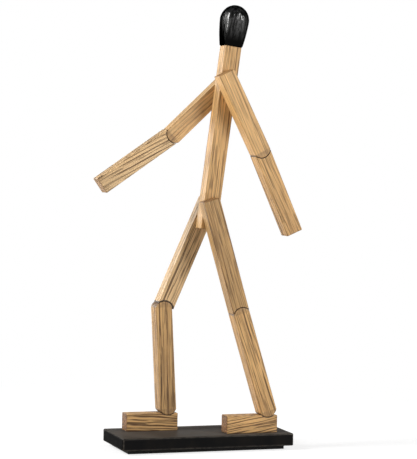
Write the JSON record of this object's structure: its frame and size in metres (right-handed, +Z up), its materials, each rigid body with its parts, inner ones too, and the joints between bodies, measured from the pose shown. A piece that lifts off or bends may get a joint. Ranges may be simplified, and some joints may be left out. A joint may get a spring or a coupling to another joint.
{
  "type": "matchstick man figure",
  "caption": "Striding stick figure of jointed square oak sticks with a black match head, standing by magnets in its soles on a black base plate.",
  "frame": {"origin": "centre of the base pad's underside", "axes": "+Z up; the figure walks toward -X; its left side is toward -Y and its right side toward +Y"},
  "size_m": [0.1513, 0.0532, 0.33],
  "materials": {
    "oak": "oiled oak, straight grain",
    "head_lacquer": "black satin lacquer",
    "base_coat": "black satin coat",
    "rubber": "matt",
    "steel": "bright",
    "magnet": "nickel plated"
  },
  "bodies": {
    "base": {"base_plate": "base_coat", "base_pad": "rubber"},
    "left_foot": {"left_foot": "oak", "left_foot_magnets": "magnet", "left_ankle_tongue": "steel"},
    "left_shin": {"left_shin": "oak", "left_ankle_pin": "steel", "left_ankle_plug": "oak", "left_knee_pin": "steel", "left_knee_plug": "oak"},
    "left_thigh": {"left_thigh": "oak", "left_knee_tongue": "steel"},
    "torso": {"torso": "oak", "head": "head_lacquer", "head_dowel": "oak", "hip_axle": "steel", "hip_rings": "rubber", "shoulder_axle": "steel", "shoulder_rings": "rubber"},
    "right_thigh": {"right_thigh": "oak", "right_knee_tongue": "steel"},
    "right_shin": {"right_shin": "oak", "right_ankle_pin": "steel", "right_ankle_plug": "oak", "right_knee_pin": "steel", "right_knee_plug": "oak"},
    "right_foot": {"right_foot": "oak", "right_foot_magnets": "magnet", "right_ankle_tongue": "steel"},
    "left_upper_arm": {"left_upper_arm": "oak", "left_elbow_pin": "steel", "left_elbow_plug": "oak"},
    "right_upper_arm": {"right_upper_arm": "oak", "right_elbow_pin": "steel", "right_elbow_plug": "oak"},
    "left_forearm": {"left_forearm": "oak", "left_elbow_tongue": "steel"},
    "right_forearm": {"right_forearm": "oak", "right_elbow_tongue": "steel"}
  },
  "joints": [
    {"name": "figure_lift", "type": "slide", "parent": "base", "child": "left_foot", "axis": [0, 0, 1], "range_m": [0, 0.08]},
    {"name": "left_ankle", "type": "hinge", "parent": "left_foot", "child": "left_shin", "pos_m": [0.04788, -0.0129, 0.031], "axis": [0, 1, 0], "range_deg": [0, 45]},
    {"name": "left_knee", "type": "hinge", "parent": "left_shin", "child": "left_thigh", "pos_m": [0.02674, -0.0129, 0.09888], "axis": [0, 1, 0], "range_deg": [0, 57]},
    {"name": "left_hip", "type": "hinge", "parent": "left_thigh", "child": "torso", "pos_m": [0.00451, -0.0129, 0.17344], "axis": [0, 1, 0], "range_deg": [-50, 40]},
    {"name": "right_hip", "type": "hinge", "parent": "left_thigh", "child": "right_thigh", "pos_m": [0.00451, 0.0129, 0.17344], "axis": [0, 1, 0], "range_deg": [0, 60]},
    {"name": "right_knee", "type": "hinge", "parent": "right_thigh", "child": "right_shin", "pos_m": [-0.02622, 0.0129, 0.10197], "axis": [0, 1, 0], "range_deg": [-31, 0]},
    {"name": "right_ankle", "type": "hinge", "parent": "right_shin", "child": "right_foot", "pos_m": [-0.02188, 0.0129, 0.031], "axis": [0, 1, 0], "range_deg": [0, 31]},
    {"name": "left_shoulder", "type": "hinge", "parent": "torso", "child": "left_upper_arm", "pos_m": [0.01629, -0.0129, 0.26801], "axis": [0, 1, 0], "range_deg": [-110, 12]},
    {"name": "right_shoulder", "type": "hinge", "parent": "torso", "child": "right_upper_arm", "pos_m": [0.01629, 0.0129, 0.26801], "axis": [0, 1, 0], "range_deg": [-22, 100]},
    {"name": "left_elbow", "type": "hinge", "parent": "left_upper_arm", "child": "left_forearm", "pos_m": [0.03884, -0.0129, 0.22395], "axis": [0, -1, 0], "range_deg": [-34, 44]},
    {"name": "right_elbow", "type": "hinge", "parent": "right_upper_arm", "child": "right_forearm", "pos_m": [-0.01944, 0.0129, 0.23375], "axis": [0, -1, 0], "range_deg": [-31, 49]}
  ],
  "couplings": [
    {"joint": "right_ankle", "follows": "right_knee", "ratio": -1}
  ]
}
